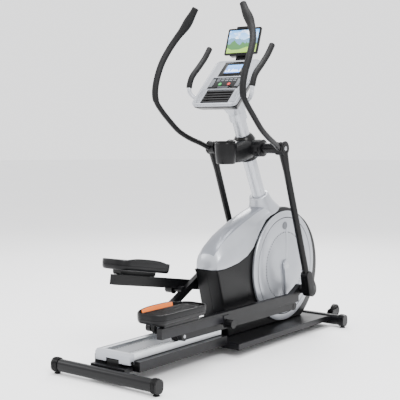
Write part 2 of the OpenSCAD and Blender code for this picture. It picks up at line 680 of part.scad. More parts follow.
/* Pivot cover and cup */
module pivot_cover() {
    color("#1a1a1d") at_base() difference() {
        hull() {
            translate([0, handle_y, handle_z]) rotate([0, 90, 0]) cylinder(r = 46, h = 228, center = true, $fn = 32);
            translate([0, handle_y + 6, handle_z + 62]) rotate([0, 90, 0]) cylinder(r = 30, h = 120, center = true, $fn = 32);
            translate([0, handle_y - 60, handle_z + 40]) cube([150, 60, 40], center = true);
            translate([0, handle_y + 10, handle_z - 50]) cylinder(r = 46, h = 30, center = true, $fn = 32);
            translate([0, handle_y - 110, handle_z - 60]) cylinder(r = 34, h = 60, center = true, $fn = 32);
        }
        upright_void(upright_r + 0.3);
        xcyl(22.3, -130, 130, [handle_y, handle_z]);
        translate([0, cup_y, cup_z - 30]) cylinder(r = 50.3, h = 260);
    }
}
module bottle_cup() {
    color("#161618") at_base() difference() {
        translate([0, cup_y, cup_z]) cylinder(r1 = 42, r2 = 50, h = 118);
        translate([0, cup_y, cup_z + wall]) cylinder(r1 = 39, r2 = 47, h = 120);
    }
}

/* Console, drawn in the plane of its face: Y runs up the face and Z out of it */
module on_console() { at_base() translate([0, console_y, console_z]) rotate([console_slope, 0, 0]) children(); }
module console_shell() {
    w = console_w / 2;
    color("#b5b8bc") on_console() difference() {
        translate([-w, 0, -console_t]) cube([console_w, console_l, console_t]);
        translate([-w + wall, wall, -console_t + wall]) cube([console_w - 2 * wall, console_l - 2 * wall, console_t]);
        for (k = [-1, 1]) translate([k * (w + 22), 0, -console_t - 20]) rotate([0, -k * 24, 0])
            translate([-30, -1, 0]) cube([60, console_l + 2, 60]);
    }
}
module console_face() {
    w = console_w / 2 - wall - 0.2;
    color("#17171a") on_console() difference() {
        translate([-w, wall + 0.2, -6]) cube([2 * w, console_l - 2 * wall - 0.4, 6]);
        translate([-screen_w / 2 - 0.2, 236, -4]) cube([screen_w + 0.4, screen_h + 0.4, 5]);
        for (b = round_keys) translate([b[0], b[1], -7]) cylinder(r = button_r + button_gap, h = 8);
        for (k = [-1, 1]) translate([k * rocker_x - rocker_w / 2 - button_gap, rocker_y - rocker_l / 2 - 1.2, -7])
            cube([rocker_w + 2 * button_gap, rocker_l + 2.4, 8]);
        for (k = [0 : 4]) translate([-90, 22 + 18 * k, -2]) cube([180, 6, 3]);
    }
}
module console_screen() {
    color("#3f79c4") on_console() translate([-screen_w / 2, 236.2, -4]) cube([screen_w, screen_h, 3.2]);
}
module round_key(i) {
    b = round_keys[i];
    on_console() translate([b[0], b[1], -6]) cylinder(r = button_r, h = 8.5);
}
module start_button() { color("#2f9a4c") round_key(0); }
module stop_button() { color("#c4352d") round_key(1); }
module rocker(x) {
    on_console() translate([x - rocker_w / 2, rocker_y, -4]) rotate([90, 0, 90]) linear_extrude(rocker_w)
        polygon([[-rocker_l / 2, 6.6], [-rocker_l / 2 + 2, 7.4], [0, 5.4], [rocker_l / 2 - 2, 7.4], [rocker_l / 2, 6.6],
                 [rocker_l / 2, 4.5], [5, 0], [-5, 0], [-rocker_l / 2, 4.5]]);
}
module incline_rocker() { color("#5f6266") rocker(-rocker_x); }
module resistance_rocker() { color("#5f6266") rocker(rocker_x); }
module console_neck() {
    color("#1e1e21") at_base() difference() {
        union() {
            hull() {
                on_mast() translate([0, 0, 205]) cylinder(r = 46, h = 30, $fn = 32);
                translate([0, console_y, console_z]) rotate([console_slope, 0, 0])
                    translate([-60, 100, -console_t - 6]) cube([120, 130, 5.9]);
            }
            on_mast() translate([0, 0, 168]) cylinder(r = upright_r + 10, h = 40);
        }
        upright_void(upright_r + 0.05);
        xcyl(bar_r + 0.05, -50, 50, [bar_route[0][1], bar_route[0][2]]);
        for (k = [0, 1]) mirror([k, 0, 0]) xcyl(bar_r + 1, 49.9, 70, [bar_route[0][1], bar_route[0][2]]);
    }
}

/* Tablet holder, drawn in the tablet's plane: Y up the tablet, Z towards the user */
module on_tablet() { at_base() translate([0, 1046, 1528]) rotate([72, 0, 0]) children(); }
module tablet_stand() {
    color("#1a1a1d") difference() {
        on_tablet() {
            translate([-16, -30, -tablet_t - 9]) cube([32, tablet_h + 10, 8.5]);
            translate([-62, -9, -tablet_t - 9]) cube([124, 8.5, tablet_t + 16]);
            translate([-62, -0.5, 2.5]) cube([124, 8, 4.5]);
            translate([-30, -44, -30]) cube([60, 35.5, 21.5]);
        }
        on_console() translate([-100, 0, -200]) cube([200, console_l, 300]);
    }
}
module tablet_clamp() {
    color("#1a1a1d") on_tablet() {
        translate([-50, tablet_h + 0.5, -tablet_t - 16]) cube([100, 7, tablet_t + 21]);
        translate([-50, tablet_h - 6, 1]) cube([100, 13.5, 4]);
        translate([-12, tablet_h - 70, -tablet_t - 16]) cube([24, 77.5, 6.5]);
    }
}
module tablet() {
    color("#0f1012") on_tablet() translate([0, 0, -tablet_t]) linear_extrude(tablet_t) difference() {
        translate([-tablet_w / 2, 0]) square([tablet_w, tablet_h]);
        for (i = [-1, 1], j = [0, 1]) translate([i * (tablet_w / 2 - 8), 8 + j * (tablet_h - 16)]) difference() {
            translate([i > 0 ? 0 : -9, j > 0 ? 0 : -9]) square([9, 9]);
            circle(r = 8);
        }
    }
}

/* Fixed handlebar */
module bar_tube(p, r) { sweep(p, [for (q = p) r], 14, [0, 0.7, -0.7]); }
module fixed_handlebar() {
    color("#b4b7bb") {
        at_base() xcyl(bar_r, -60, 60, [bar_route[0][1], bar_route[0][2]]);
        both() bar_tube(bar_curve, bar_r);
    }
}
module fixed_grips() {
    color("#232327") both() difference() {
        bar_tube(beyond(tail(bar_curve, foam_start), 6), 15.5);
        bar_tube(beyond(tail(bar_curve, foam_start - 1), 0.3), bar_r + 0.2);
    }
}

stabilizers();
stabilizer_caps();
stabilizer_feet();
rear_base_frame();
lift_motor();
front_base_frame();
power_inlet();
right_housing_cover();
left_housing_cover();
nose_shroud();
upright_collar();
inner_frame();
upright();
magnet_brake();
pivot_cover();
bottle_cup();
console_shell();
console_face();
console_screen();
console_neck();
tablet_stand();
fixed_handlebar();
fixed_grips();
drive_belt();
ramp_cover();
ramp_rails();
ramp_end_cap();
crankshaft();
drive_pulley();
crank_discs();
crank_arms();
flywheel();
start_button();
stop_button();
incline_rocker();
resistance_rocker();
tablet_clamp();
tablet();
transport_wheel(1);  // right_transport_wheel
transport_wheel(-1);  // left_transport_wheel
roller_axle(1);  // right_roller_axle
roller_axle(-1);  // left_roller_axle
roller_wheel(1);  // right_roller_wheel
roller_wheel(-1);  // left_roller_wheel
roller_arm(1);  // right_roller_arm
roller_arm(-1);  // left_roller_arm
pedal_arm(1);  // right_pedal_arm
pedal_arm(-1);  // left_pedal_arm
pedal_tray(1);  // right_pedal_tray
pedal_tray(-1);  // left_pedal_tray
pedal_pad(1);  // right_pedal_pad
pedal_pad(-1);  // left_pedal_pad
swing_leg(1);  // right_swing_leg
swing_leg(-1);  // left_swing_leg
leg_cover(1);  // right_leg_cover
leg_cover(-1);  // left_leg_cover
swing_handle(1);  // right_swing_handle
swing_handle(-1);  // left_swing_handle
foam_grip(1);  // right_foam_grip
foam_grip(-1);  // left_foam_grip
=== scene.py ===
import json
from math import asin, atan2, cos, exp, pi, radians, sin, sqrt

import bmesh
import bpy
from mathutils import Matrix, Vector


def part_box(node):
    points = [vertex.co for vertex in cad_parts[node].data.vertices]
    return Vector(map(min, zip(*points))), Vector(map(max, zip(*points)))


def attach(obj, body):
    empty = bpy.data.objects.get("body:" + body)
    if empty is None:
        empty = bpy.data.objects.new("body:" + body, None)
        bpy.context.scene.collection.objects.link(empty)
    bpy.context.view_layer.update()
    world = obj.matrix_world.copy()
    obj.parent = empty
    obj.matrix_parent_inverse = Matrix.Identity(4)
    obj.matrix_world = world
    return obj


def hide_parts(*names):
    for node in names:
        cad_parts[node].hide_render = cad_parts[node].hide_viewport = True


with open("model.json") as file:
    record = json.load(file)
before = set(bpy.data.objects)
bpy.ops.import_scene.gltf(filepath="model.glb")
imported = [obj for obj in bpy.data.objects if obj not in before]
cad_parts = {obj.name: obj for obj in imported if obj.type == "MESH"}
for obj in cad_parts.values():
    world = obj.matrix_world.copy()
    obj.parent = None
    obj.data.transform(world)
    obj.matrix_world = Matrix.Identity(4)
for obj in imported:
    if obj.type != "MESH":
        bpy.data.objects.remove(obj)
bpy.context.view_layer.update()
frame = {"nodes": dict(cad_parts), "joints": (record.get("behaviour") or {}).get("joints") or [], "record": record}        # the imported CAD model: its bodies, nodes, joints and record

nodes = frame["nodes"]
mm = 0.001

# Millimetres from the middle of the rear stabilizer, to the metres of the frame.
capHalf = 0.029                                    # half the depth of a ribbed end cap
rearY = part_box("stabilizer_caps")[0].y + capHalf
machine = Matrix.Translation((0, rearY, 0)) @ Matrix.Scale(mm, 4)
mirrored = Matrix.Scale(-1, 4, (1, 0, 0))
hinges = {j["name"]: j["pos_m"] for j in frame["joints"] if "pos_m" in j}
sides = (("right", 1), ("left", -1))
xUp = Matrix.Rotation(-pi / 2, 4, "Y")             # stands a turned profile's X upwards


def hingeAt(name):                                 # (y, z) of a hinge in machine millimetres
    return (hinges[name][1] - rearY) / mm, hinges[name][2] / mm


def hexToLinear(text):
    def channel(k):
        value = int(text[k:k + 2], 16) / 255
        return value / 12.92 if value <= 0.04045 else ((value + 0.055) / 1.055) ** 2.4
    return (channel(1), channel(3), channel(5), 1.0)


def addNode(tree, kind, settings=None, **inputs):
    node = tree.nodes.new("ShaderNode" + kind)
    for name, value in (settings or {}).items():
        setattr(node, name, value)
    for name, value in inputs.items():
        byNumber = name.startswith("in") and name[2:].isdigit()
        socket = node.inputs[int(name[2:]) if byNumber else name.replace("_", " ")]
        if isinstance(value, bpy.types.NodeSocket):
            tree.links.new(value, socket)
        else:
            socket.default_value = value
    return node


def emptyMaterial(name):
    material = bpy.data.materials.new(name)
    material.use_nodes = True
    material.node_tree.nodes.clear()
    return material, material.node_tree


def finishShader(tree, shader):
    addNode(tree, "OutputMaterial", Surface=shader.outputs[0])


# One layered surface: broad colour drift, a fine relief that drives bump, and a roughness that follows both.
layers = {"broadDetail": 3.0, "rubbedFrom": 0.53, "rubbedTo": 0.62, "glossFrom": 0.6, "glossTo": 1.4,
          "bumpStrength": 0.6, "coatRoughness": 0.12}


def surface(name, colour, drift, rough, grain, depth, metallic=0.0, blotch=90, stretch=(1, 1, 1),
            cells=False, wear=None, coat=0.0, detail=3.0, shine=0.5):
    material, tree = emptyMaterial(name)
    place = addNode(tree, "TexCoord")
    spread = addNode(tree, "Mapping", Vector=place.outputs["Object"], Scale=stretch)
    broad = addNode(tree, "TexNoise", Vector=place.outputs["Object"], Scale=1 / (blotch * mm),
                    Detail=layers["broadDetail"])
    if cells:
        fine = addNode(tree, "TexVoronoi", {"feature": "F1"}, Vector=spread.outputs[0],
                       Scale=1 / (grain * mm))
    else:
        fine = addNode(tree, "TexNoise", Vector=spread.outputs[0], Scale=1 / (grain * mm),
                       Detail=detail)
    mix = addNode(tree, "Mix", {"data_type": "RGBA"}, in0=broad.outputs[0],
                  in6=hexToLinear(colour), in7=hexToLinear(drift))
    tint = mix.outputs[2]
    if wear:                                       # paint rubbed thin along edges
        point = addNode(tree, "NewGeometry")
        edge = addNode(tree, "MapRange", in0=point.outputs["Pointiness"],
                       in1=layers["rubbedFrom"], in2=layers["rubbedTo"])
        scuff = addNode(tree, "Math", {"operation": "MULTIPLY", "use_clamp": True},
                        in0=edge.outputs[0], in1=broad.outputs[0])
        tint = addNode(tree, "Mix", {"data_type": "RGBA"}, in0=scuff.outputs[0], in6=tint,
                       in7=hexToLinear(wear)).outputs[2]
    both = addNode(tree, "Math", {"operation": "ADD"}, in0=broad.outputs[0], in1=fine.outputs[0])
    gloss = addNode(tree, "MapRange", in0=both.outputs[0], in1=layers["glossFrom"],
                    in2=layers["glossTo"], in3=rough[0], in4=rough[1])
    bump = addNode(tree, "Bump", Strength=layers["bumpStrength"], Distance=depth * mm,
                   Height=fine.outputs[0])
    shader = addNode(tree, "BsdfPrincipled", Base_Color=tint, Metallic=metallic,
                     Roughness=gloss.outputs[0], Normal=bump.outputs[0], Coat_Weight=coat,
                     Coat_Roughness=layers["coatRoughness"], Specular_IOR_Level=shine)
    finishShader(tree, shader)
    return material


# Powder coat: plastic powder baked on steel, so it is satin with a faint orange peel.
powderBlack = surface("powder_coated_steel_black", "#050506", "#09090b", (0.26, 0.38), 2.2, 0.16,
                      wear="#222226", shine=0.2)
# Metallic lacquer over steel: aluminium flakes under a clear coat give a soft silver with a bright edge.
lacquerSilver = surface("metallic_lacquer_silver", "#b9bcc2", "#adb0b6", (0.3, 0.4), 1.6, 0.02,
                        metallic=0.45, cells=True, coat=0.5)
# Turned bright steel: fine rings round the shaft, so highlights run along it.
turnedSteel = surface("turned_bright_steel", "#b9bbbe", "#9a9ca0", (0.22, 0.38), 1.4, 0.05,
                      metallic=1.0, stretch=(1, 0.03, 0.03))
# Cast iron: sand-cast skin, dark and pitted.
castIron = surface("sand_cast_iron", "#4b4c50", "#36373a", (0.5, 0.68), 3.0, 0.35,
                   metallic=0.7, wear="#8c8d90")
# Anodised extruded aluminium: pale, matt, with die lines along its length.
anodised = surface("anodised_extruded_aluminium", "#d4d7da", "#c2c5c9", (0.3, 0.42), 1.5, 0.05,
                   metallic=0.85, stretch=(1, 0.02, 1))
# Injection-moulded ABS with a spark-eroded grain: dull black with a fine sparkle.
mouldedBlack = surface("moulded_abs_black", "#050506", "#0a0a0c", (0.26, 0.38), 1.8, 0.1,
                       detail=5.0, shine=0.2)
# Polished ABS: mirror-like mould, so it shows clean reflections.
polishedBlack = surface("polished_abs_black", "#030304", "#050506", (0.06, 0.12), 14.0, 0.03,
                        shine=0.3)
# Painted ABS, silver: metallic paint on mouldings, softer than the steel lacquer.
paintedSilver = surface("painted_abs_silver", "#a6a9af", "#999ca2", (0.28, 0.38), 1.8, 0.02,
                        metallic=0.55, cells=True, coat=0.25)
# Painted ABS, mid grey: the same metallic paint in a darker tone; the darkening is painted shade, so the top
# panel reads as let in without a recess in the mesh.
greyPaintAndRecessShade = surface("painted_abs_grey_recess_shade", "#7d8087", "#70737a", (0.3, 0.4), 1.8, 0.02,
                      metallic=0.5, cells=True, coat=0.15)
# Moulded ABS, grey: pigmented plastic with a fine grain.
mouldedGrey = surface("moulded_abs_grey", "#5d6065", "#52555a", (0.3, 0.42), 1.8, 0.1)
# Moulded ABS, orange: saturated pigment, satin.
mouldedOrange = surface("moulded_abs_orange", "#ea7a2c", "#de6c20", (0.32, 0.42), 1.8, 0.06)
# Closed-cell foam sleeve: a skin of small burst bubbles, drawn larger than life so that it shows.
closedFoam = surface("closed_cell_foam", "#070708", "#0d0d0f", (0.5, 0.7), 2.6, 0.9, cells=True,
                     shine=0.22)
# Moulded rubber: dull, with a slight bloom.
mouldedRubber = surface("moulded_rubber", "#060607", "#0c0c0d", (0.45, 0.62), 2.0, 0.15, shine=0.2)
# Shadow gap: the unlit depth of a groove or of a joint between mouldings, drawn as matt black.
paintedShadeBlack = surface("shadow_gap_black", "#060607", "#0a0a0b", (0.7, 0.85), 3.0, 0.05)
# Moulded ABS keys, green and red: pigment right through the plastic, so the colour is even and satin.
mouldedGreen = surface("moulded_abs_green", "#2f9a4c", "#278641", (0.35, 0.45), 2.0, 0.05)
mouldedRed = surface("moulded_abs_red", "#c4352d", "#ad2b25", (0.35, 0.45), 2.0, 0.05)
print("materials made")


# Backlit liquid crystal display: glass over a lit blue field, with a generic row of bars that glow.
display = {"bars": 14, "lowest": 0.16, "highest": 0.55, "foot": 0.1, "gap": 0.25, "glow": 0.55}


def displayMaterial():
    material, tree = emptyMaterial("backlit_lcd_blue")
    flat = addNode(tree, "SeparateXYZ", Vector=addNode(tree, "TexCoord").outputs["UV"])
    column = addNode(tree, "Math", {"operation": "MULTIPLY"}, in0=flat.outputs[0], in1=display["bars"])
    number = addNode(tree, "Math", {"operation": "FLOOR"}, in0=column.outputs[0])
    within = addNode(tree, "Math", {"operation": "FRACT"}, in0=column.outputs[0])
    height = addNode(tree, "TexWhiteNoise", {"noise_dimensions": "1D"}, W=number.outputs[0])
    top = addNode(tree, "MapRange", in0=height.outputs[0], in3=display["lowest"], in4=display["highest"])
    below = addNode(tree, "Math", {"operation": "LESS_THAN"}, in0=flat.outputs[1], in1=top.outputs[0])
    above = addNode(tree, "Math", {"operation": "GREATER_THAN"}, in0=flat.outputs[1],
                    in1=display["foot"])
    gap = addNode(tree, "Math", {"operation": "GREATER_THAN"}, in0=within.outputs[0],
                  in1=display["gap"])
    bar = addNode(tree, "Math", {"operation": "MULTIPLY"}, in0=below.outputs[0], in1=above.outputs[0])
    bar = addNode(tree, "Math", {"operation": "MULTIPLY"}, in0=bar.outputs[0], in1=gap.outputs[0])
    field = addNode(tree, "Mix", {"data_type": "RGBA"}, in0=flat.outputs[1],
                    in6=hexToLinear("#2f6fd0"), in7=hexToLinear("#6fa8ea"))
    colour = addNode(tree, "Mix", {"data_type": "RGBA"}, in0=bar.outputs[0], in6=field.outputs[2],
                     in7=hexToLinear("#dfeeff"))
    finishShader(tree, addNode(tree, "BsdfPrincipled", Base_Color=colour.outputs[2], Roughness=0.18,
                               Emission_Color=colour.outputs[2], Emission_Strength=display["glow"]))
    return material


# Tablet glass over a lit panel: a generic landscape of sky, two ridges and a meadow.
landscape = {"ridges": ((2.0, 0.42, 0.72, "#5c7f9a"), (3.2, 0.3, 0.56, "#3f6b3c"),
                        (1.4, 0.14, 0.34, "#8ab04a")),
             "apart": 7.0, "cloudsFrom": 0.5, "cloudsTo": 0.7, "reliefFrom": 0.3, "reliefTo": 0.7,
             "glow": 0.5}


def pictureMaterial():
    material, tree = emptyMaterial("tablet_glass_picture")
    where = addNode(tree, "TexCoord").outputs["UV"]
    flat = addNode(tree, "SeparateXYZ", Vector=where)
    clouds = addNode(tree, "TexNoise", Vector=where, Scale=5.0, Detail=4.0)
    sky = addNode(tree, "Mix", {"data_type": "RGBA"}, in0=flat.outputs[1],
                  in6=hexToLinear("#cfe6f6"), in7=hexToLinear("#4f97d8"))
    cover = addNode(tree, "MapRange", in0=clouds.outputs[0], in1=landscape["cloudsFrom"],
                    in2=landscape["cloudsTo"])
    picture = addNode(tree, "Mix", {"data_type": "RGBA"}, in0=cover.outputs[0], in6=sky.outputs[2],
                      in7=hexToLinear("#f4f8fb")).outputs[2]
    for step, (scale, low, high, colour) in enumerate(landscape["ridges"]):
        along = addNode(tree, "Math", {"operation": "MULTIPLY_ADD"}, in0=flat.outputs[0], in1=scale,
                        in2=landscape["apart"] * step)
        ridge = addNode(tree, "TexNoise", {"noise_dimensions": "1D"}, W=along.outputs[0], Scale=1.0,
                        Detail=4.0)
        line = addNode(tree, "MapRange", in0=ridge.outputs[0], in1=landscape["reliefFrom"],
                       in2=landscape["reliefTo"], in3=low, in4=high)
        under = addNode(tree, "Math", {"operation": "LESS_THAN"}, in0=flat.outputs[1],
                        in1=line.outputs[0])
        picture = addNode(tree, "Mix", {"data_type": "RGBA"}, in0=under.outputs[0], in6=picture,
                          in7=hexToLinear(colour)).outputs[2]
    finishShader(tree, addNode(tree, "BsdfPrincipled", Base_Color=picture, Roughness=0.12,
                               Emission_Color=picture, Emission_Strength=landscape["glow"]))
    return material


displayGlass = displayMaterial()
pictureGlass = pictureMaterial()
slotFinish = {"black_steel": powderBlack, "silver_steel": lacquerSilver, "bare_steel": turnedSteel,
              "cast_iron": castIron, "rail_aluminium": anodised, "black_plastic": mouldedBlack,
              "gloss_black": polishedBlack, "silver_plastic": paintedSilver, "grey_plastic": mouldedGrey,
              "foam": closedFoam, "rubber": mouldedRubber, "display": displayGlass,
              "green_key": mouldedGreen, "red_key": mouldedRed}


# Mesh building: a draft holds points, faces, each face's finish, and each point's place on a flat picture.
def newDraft():
    return {"points": [], "faces": [], "finishes": [], "flat": []}


def addFaces(draft, points, faces, place, finish):
    start = len(draft["points"])
    draft["points"] += [place @ Vector(p) for p in points]
    draft["flat"] += [(0.0, 0.0)] * len(points)
    draft["faces"] += [[start + i for i in face] for face in faces]
    draft["finishes"] += [finish] * len(faces)


def loft(draft, rings, place=machine, finish=0, ends=(True, True)):
    count = len(rings[0])
    faces = [[r * count + k, r * count + (k + 1) % count, (r + 1) * count + (k + 1) % count,
              (r + 1) * count + k] for r in range(len(rings) - 1) for k in range(count)]
    if ends[0]:
        faces.append(list(range(count))[::-1])
    if ends[1]:
        faces.append([(len(rings) - 1) * count + k for k in range(count)])
    addFaces(draft, [p for ring in rings for p in ring], faces, place, finish)


def smoothRoute(points, steps):                    # Catmull-Rom curve through the points
    last = len(points) - 1
    route = []
    for i in range(last):
        a, b, c, d = (Vector(points[max(0, min(last, i + k))]) for k in (-1, 0, 1, 2))
        for step in range(steps):
            t = step / steps
            route.append(0.5 * (2 * b + (c - a) * t + (2 * a - 5 * b + 4 * c - d) * t ** 2
                                + (3 * b - a - 3 * c + d) * t ** 3))
    return route + [Vector(points[last])]


def tube(draft, route, radii, place=machine, count=24):
    normal = Vector((1, 0.01, 0.02))
    rings = []
    for i, point in enumerate(route):
        tangent = (route[min(i + 1, len(route) - 1)] - route[max(i - 1, 0)]).normalized()
        normal = (normal - tangent * normal.dot(tangent)).normalized()
        across = tangent.cross(normal)
        rings.append([point + radii[i] * (normal * cos(2 * pi * k / count)
                                          + across * sin(2 * pi * k / count)) for k in range(count)])
    loft(draft, rings, place)


def closedTube(draft, route, radii, place, count, nose):
    turns = (1.4, 1.0, 0.5)                        # both ends are rounded over by the nose length
    ahead = (route[-1] - route[-2]).normalized()
    back = (route[0] - route[1]).normalized()
    front = [route[0] + back * nose * sin(a) for a in turns]
    rear = [route[-1] + ahead * nose * sin(a) for a in turns[::-1]]
    shrink = [cos(a) for a in turns]
    spread = [radii[0] - nose + nose * s for s in shrink]
    tail = [radii[-1] - nose + nose * s for s in shrink[::-1]]
    tube(draft, front + list(route) + rear, spread + list(radii) + tail, place, count)


def turned(draft, profile, place=machine, finish=0, count=64, ends=(True, True)):
    # profile is (distance along X, radius), revolved about X
    rings = [[(x, r * cos(2 * pi * k / count), r * sin(2 * pi * k / count)) for k in range(count)]
             for x, r in profile]
    loft(draft, rings, place, finish, ends)


def roundedRect(width, length, radius, height=0.0, corner=8):
    outline = []
    for quarter, (i, j) in enumerate(((1, 1), (-1, 1), (-1, -1), (1, -1))):
        for k in range(corner + 1):
            a = pi / 2 * (quarter + k / corner)
            outline.append((i * (width / 2 - radius) + radius * cos(a),
                            j * (length / 2 - radius) + radius * sin(a), height))
    return outline


def slab(draft, width, length, radius, levels, place=machine, finish=0, corner=8):
    # levels is (height, inset) from the bottom up
    smallest = 0.8
    loft(draft, [roundedRect(width - 2 * inset, length - 2 * inset, max(radius - inset, smallest), height,
                             corner) for height, inset in levels], place, finish)


def block(draft, low, high, place=machine, edge=0.8):
    middle = [(a + b) / 2 for a, b in zip(low, high)]
    size = [b - a for a, b in zip(low, high)]
    slab(draft, size[0], size[1], min(edge * 1.5, size[0] / 2.2, size[1] / 2.2),
         [(low[2], edge), (low[2] + edge, 0), (high[2] - edge, 0), (high[2] - edge * 0.3, edge * 0.3),
          (high[2], edge)], place @ Matrix.Translation((middle[0], middle[1], 0)), corner=3)


def dome(draft, radius, height, place):            # a button-head screw standing on X = 0
    turned(draft, [(-0.5, radius), (height * 0.35, radius), (height * 0.75, radius * 0.86),
                   (height, radius * 0.5), (height, radius * 0.38), (height * 0.5, radius * 0.34)],
           place, count=20)


def makePiece(name, draft, body, finishes, replaces=(), sharp=38):
    mesh = bpy.data.meshes.new(name)
    mesh.from_pydata([tuple(p) for p in draft["points"]], [], draft["faces"])
    mesh.polygons.foreach_set("material_index", draft["finishes"])
    for material in finishes:
        mesh.materials.append(material)
    if any(u or v for u, v in draft["flat"]):
        layer = mesh.uv_layers.new(name="flat")
        for loop in mesh.loops:
            layer.data[loop.index].uv = draft["flat"][loop.vertex_index]
    work = bmesh.new()
    work.from_mesh(mesh)
    bmesh.ops.remove_doubles(work, verts=work.verts, dist=0.00001)
    bmesh.ops.recalc_face_normals(work, faces=work.faces)
    work.to_mesh(mesh)
    work.free()
    mesh.polygons.foreach_set("use_smooth", [True] * len(mesh.polygons))
    mesh.set_sharp_from_angle(angle=radians(sharp))
    piece = bpy.data.objects.new(name, mesh)
    bpy.context.scene.collection.objects.link(piece)
    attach(piece, body)
    if replaces:
        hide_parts(*replaces)
    return piece


def soften(piece, width):                          # rounds hard edges with a small bevel that catches light
    join = piece.modifiers.new("weld", "WELD")
    join.merge_threshold = 0.00002
    bevel = piece.modifiers.new("bevel", "BEVEL")
    bevel.width = width * mm
    bevel.segments = 2
    bevel.limit_method = "ANGLE"
    bevel.angle_limit = radians(32)
    bevel.harden_normals = True


# Camera and studio; each light is a name, a spot, a size and a power
studio = {"lens": 82.2, "cameraAt": (2.778, -3.801, 1.136), "tilt": 85.583, "turn": 37.48,
          "sensor": 36, "aim": (0, 0, 0.8), "floorRadius": 30.0, "floorSides": 64, "worldPower": 1.9,
          "lights": (("keyLight", (3.0, -2.2, 3.2), 1.4, 150), ("fillLight", (-3.4, -2.4, 2.4), 1.6, 50),
                     ("topLight", (0.2, 0.2, 4.4), 2.2, 230), ("backLight", (-2.2, 3.4, 3.0), 1.6, 110))}
camera = bpy.data.objects.new("camera", bpy.data.cameras.new("camera"))
camera.data.lens = studio["lens"]
camera.data.sensor_width = studio["sensor"]
camera.location = studio["cameraAt"]
camera.rotation_euler = (radians(studio["tilt"]), 0, radians(studio["turn"]))
bpy.context.scene.collection.objects.link(camera)
bpy.context.scene.camera = camera
for name, spot, size, power in studio["lights"]:
    lamp = bpy.data.objects.new(name, bpy.data.lights.new(name, "AREA"))
    lamp.data.size = size
    lamp.data.energy = power
    lamp.location = spot
    lamp.rotation_euler = (Vector(studio["aim"]) - Vector(spot)).to_track_quat("-Z", "Y").to_euler()
    bpy.context.scene.collection.objects.link(lamp)
world = bpy.data.worlds.new("paleStudio")
bpy.context.scene.world = world
world.use_nodes = True
world.node_tree.nodes.clear()
paper = addNode(world.node_tree, "Background", Color=hexToLinear("#fdfdfe"),
                Strength=studio["worldPower"])
addNode(world.node_tree, "OutputWorld", Surface=paper.outputs[0])

floorTurns = [2 * pi * k / studio["floorSides"] for k in range(studio["floorSides"])]
floorMesh = bpy.data.meshes.new("studioFloor")
floorRing = [(studio["floorRadius"] * cos(a), studio["floorRadius"] * sin(a), 0) for a in floorTurns]
floorMesh.from_pydata(floorRing, [], [list(range(studio["floorSides"]))])
# Seamless studio vinyl: calendered matt sheet, almost white, that takes soft shadows.
floorMesh.materials.append(surface("matt_studio_vinyl", "#f6f6f6", "#f2f2f3", (0.75, 0.85), 6.0, 0.02,
                                   blotch=900))
floor = bpy.data.objects.new("studioFloor", floorMesh)
bpy.context.scene.collection.objects.link(floor)
print("studio made")

# Housing: two black covers that meet on the centre plane, with a rolled outer rim
crankY, crankZ = hingeAt("crank_spin")
housing = {"halfWidth": 74, "rimRadius": 326, "bulge": 50, "drop": 28, "low": 70.3, "roll": 9,
           "rollSteps": 5, "inside": 0.5, "topJoin": 496,
           "rearEdge": [(811, 207), (759, 396), (745, 424), (893, 441)],
           "rearFoot": 845, "arcSteps": 56, "topEnd": radians(58), "frontStart": radians(54)}


def ringArc(centre, radius, start, end, count):
    return [(centre[0] + radius * cos(start + (end - start) * k / count),
             centre[1] + radius * sin(start + (end - start) * k / count)) for k in range(count + 1)]


def insetOutline(outline, inset):
    tiny = 1e-6
    count = len(outline)
    moved = []
    for k in range(count):
        a, b, c = (Vector(outline[(k + step) % count]) for step in (-1, 0, 1))
        normal = Vector((0, 0))
        for edge in ((b - a), (c - b)):
            if edge.length > tiny:
                normal += Vector((edge.y, -edge.x)).normalized()
        moved.append(b - normal.normalized() * inset if normal.length > tiny else b)
    return moved


radius = housing["rimRadius"]
low = housing["low"]
ahead = (crankY + housing["bulge"], crankZ - housing["drop"])
topStart = pi - asin((housing["topJoin"] - crankZ) / radius)
frontEnd = -asin((ahead[1] - low) / radius)
outline = ([(housing["rearFoot"], low)] + housing["rearEdge"]
           + ringArc((crankY, crankZ), radius, topStart, housing["topEnd"], housing["arcSteps"])
           + ringArc(ahead, radius, housing["frontStart"], frontEnd, housing["arcSteps"]))[::-1]
for side, sign in sides:
    cover = newDraft()
    place = machine if sign > 0 else machine @ mirrored
    roll = housing["roll"]
    rings = [[(housing["inside"], y, z) for y, z in outline]]
    for step in range(housing["rollSteps"] + 1):
        turn = pi / 2 * step / housing["rollSteps"]
        x = housing["halfWidth"] - roll + roll * sin(turn)
        rings.append([(x, p[0], p[1]) for p in insetOutline(outline, roll * (1 - cos(turn)))])
    loft(cover, rings, place)
    makePiece(side + "_housing", cover, "frame", [mouldedBlack], [side + "_housing_cover"],
              sharp=30)

# Nose shroud: a silver saddle over the covers, with a mid-grey panel along its crown whose darker tone is
# painted shade of a let-in panel.
# A station is (Y, ridge height, shoulder height, hem height, share of the full width).
# The top is (X, share of the drop from ridge to shoulder), and the flank (share from shoulder to hem, X).
shroud = {"stations": [(745, 470, 450, 426, 0.45), (757, 505, 476, 427, 0.8), (778, 531, 494, 429, 0.93),
                       (800, 553, 510, 431, 1), (830, 575, 523, 434, 1), (860, 597, 536, 438, 1),
                       (921, 628, 558, 448, 1), (1000, 662, 594, 475, 1), (1058, 680, 622, 515, 1),
                       (1115, 698, 650, 590, 1), (1172, 712, 676, 650, 1), (1215, 722, 694, 668, 1)],
          "top": ((0, 0), (16, 0.02), (32, 0.09), (46, 0.22), (50, 0.3), (52, 0.36), (64, 0.68), (73, 1.0)),
          "flank": ((0.12, 79), (0.35, 82), (0.7, 83.5), (0.95, 84), (1.0, 83)),
          "panelHalf": 50}
saddle = newDraft()
rings = []
